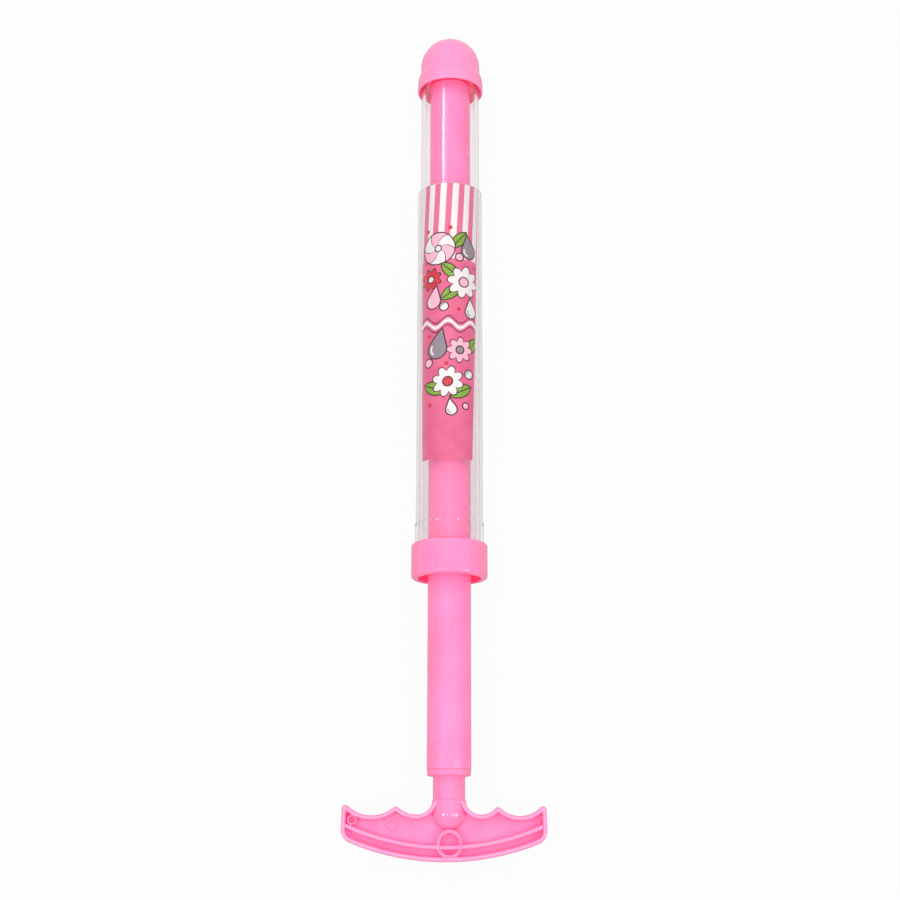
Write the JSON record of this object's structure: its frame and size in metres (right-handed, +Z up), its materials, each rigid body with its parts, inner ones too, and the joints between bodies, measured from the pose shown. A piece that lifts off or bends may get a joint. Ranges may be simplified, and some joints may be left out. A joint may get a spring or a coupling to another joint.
{
  "type": "water squirter",
  "caption": "Hand-pumped water squirter: clear barrel, printed sheet under a clear sleeve, domed nozzle cap, ring collar and a hollow sliding plunger with a T-handle.",
  "frame": {"origin": "under the middle of the object's box, on the surface that it lies on", "axes": "+Y along the barrel towards the nozzle, +X across the handle to the right seen from above with the nozzle ahead, +Z up out of the handle's face"},
  "size_m": [0.1018, 0.45, 0.0395],
  "materials": {
    "pink_plastic": "moulded satin gloss, slightly translucent",
    "clear_plastic": "clear, polished",
    "printed_sheet": "printed, smooth",
    "seal_rubber": "smooth, oiled"
  },
  "bodies": {
    "barrel": {"nozzle_cap": "pink_plastic", "barrel_tube": "clear_plastic", "sleeve_tube": "clear_plastic", "label_sheet": "printed_sheet", "collar": "pink_plastic"},
    "piston_seals": {"piston_ring_front": "seal_rubber", "piston_ring_rear": "seal_rubber"},
    "plunger": {"piston_head": "pink_plastic", "rod_tube": "pink_plastic", "tail_plug": "pink_plastic", "handle": "pink_plastic"}
  },
  "joints": [
    {"name": "plunger_slide", "type": "slide", "parent": "barrel", "child": "piston_seals", "axis": [0, -1, 0], "range_m": [0, 0.27]},
    {"name": "plunger_turn", "type": "hinge", "parent": "piston_seals", "child": "plunger", "pos_m": [0.0023, 0, 0.01975], "axis": [0, 1, 0], "continuous": true}
  ]
}
